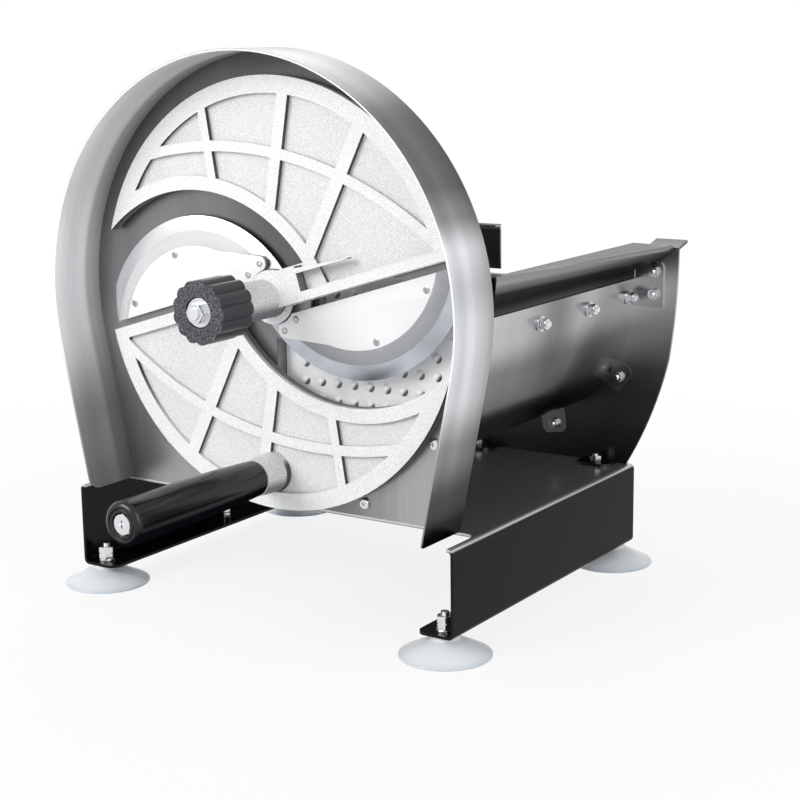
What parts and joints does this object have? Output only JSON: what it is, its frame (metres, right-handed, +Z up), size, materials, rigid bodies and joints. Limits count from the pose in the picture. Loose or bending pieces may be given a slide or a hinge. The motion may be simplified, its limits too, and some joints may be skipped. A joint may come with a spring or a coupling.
{
  "type": "hand-cranked fruit slicer",
  "caption": "Table-top fruit slicer: crank-turned ribbed disc with curved blades in an arched guard, feed trough with sliding pusher, bent sheet base on suction feet.",
  "frame": {"origin": "on the table, under the middle of the overall bounding box", "axes": "+Z up, -Y towards the crank and the front of the disc, +X to the right as seen from the front"},
  "size_m": [0.3626, 0.3926, 0.3761],
  "materials": {
    "mirror_steel": "polished",
    "guard_steel": "brushed",
    "cast_white": "sandblasted",
    "blade_steel": "ground",
    "machined_steel": "turned",
    "bright_fastener": "bright",
    "housing_grey": "cast",
    "bronze": "satin",
    "black_plastic": "moulded",
    "black_gloss": "gloss",
    "white_plastic": "satin",
    "carriage_steel": "polished",
    "clear_rubber": "translucent soft plastic"
  },
  "bodies": {
    "stand": {"back_plate": "guard_steel", "base_frame": "mirror_steel", "bearing_housing": "housing_grey", "doubler_plate": "guard_steel", "feed_trough": "mirror_steel", "foot_cup_front_left": "clear_rubber", "foot_cup_front_right": "clear_rubber", "foot_cup_rear_left": "clear_rubber", "foot_cup_rear_right": "clear_rubber", "foot_nuts_front_left": "bright_fastener", "foot_nuts_front_right": "bright_fastener", "foot_nuts_rear_left": "bright_fastener", "foot_nuts_rear_right": "bright_fastener", "foot_stud_front_left": "bright_fastener", "foot_stud_front_right": "bright_fastener", "foot_stud_rear_left": "bright_fastener", "foot_stud_rear_right": "bright_fastener", "front_bush": "bronze", "guide_strip": "white_plastic", "hood_band": "guard_steel", "hood_bolt_nuts": "bright_fastener", "hood_bolts": "bright_fastener", "housing_screws": "bright_fastener", "plate_nuts": "bright_fastener", "plate_screws": "bright_fastener", "rail": "mirror_steel", "rail_bolts": "bright_fastener", "rail_nuts": "bright_fastener", "rear_bush": "bronze", "rear_foot_bolts": "bright_fastener", "rear_foot_nuts": "bright_fastener", "rear_plate": "mirror_steel", "side_bolt_nuts": "bright_fastener", "side_bolts": "bright_fastener", "tab_bolts": "bright_fastener", "tab_nuts": "bright_fastener"},
    "rotor": {"drive_shaft": "machined_steel", "drive_pins": "machined_steel", "blade_upper": "blade_steel", "blade_lower": "blade_steel", "blade_holder_upper": "cast_white", "blade_holder_lower": "cast_white", "blade_screws": "bright_fastener", "shaft_end_washer": "machined_steel", "shaft_end_nut": "bright_fastener"},
    "casting": {"thickness_casting": "cast_white", "boss_retainer": "machined_steel", "retainer_screws": "bright_fastener", "handle_spindle": "machined_steel", "grip_washer": "bright_fastener", "grip_screw": "bright_fastener"},
    "knob": {"adjusting_knob": "black_plastic", "adjusting_screw": "machined_steel", "knob_washer": "bright_fastener", "knob_nut": "bright_fastener"},
    "grip": {"handle_grip": "black_gloss"},
    "pusher": {"pusher_face": "white_plastic", "pusher_carriage": "carriage_steel", "pusher_handle": "black_plastic"}
  },
  "joints": [
    {"name": "disc_spin", "type": "hinge", "parent": "stand", "child": "rotor", "pos_m": [-0.00775, -0.04775, 0.215], "axis": [0, 1, 0], "continuous": true},
    {"name": "thickness_slide", "type": "slide", "parent": "rotor", "child": "casting", "axis": [0, -1, 0], "range_m": [0, 0.012]},
    {"name": "knob_turn", "type": "hinge", "parent": "casting", "child": "knob", "pos_m": [-0.00775, -0.10775, 0.215], "axis": [0, -1, 0], "range_deg": [0, 720]},
    {"name": "grip_spin", "type": "hinge", "parent": "casting", "child": "grip", "pos_m": [-0.01111, -0.12775, 0.09602], "axis": [0, 1, 0], "continuous": true},
    {"name": "pusher_slide", "type": "slide", "parent": "stand", "child": "pusher", "axis": [0, 1, 0], "range_m": [0, 0.13]}
  ],
  "couplings": [
    {"joint": "knob_turn", "follows": "thickness_slide", "rad_per_m": 1047.2}
  ]
}
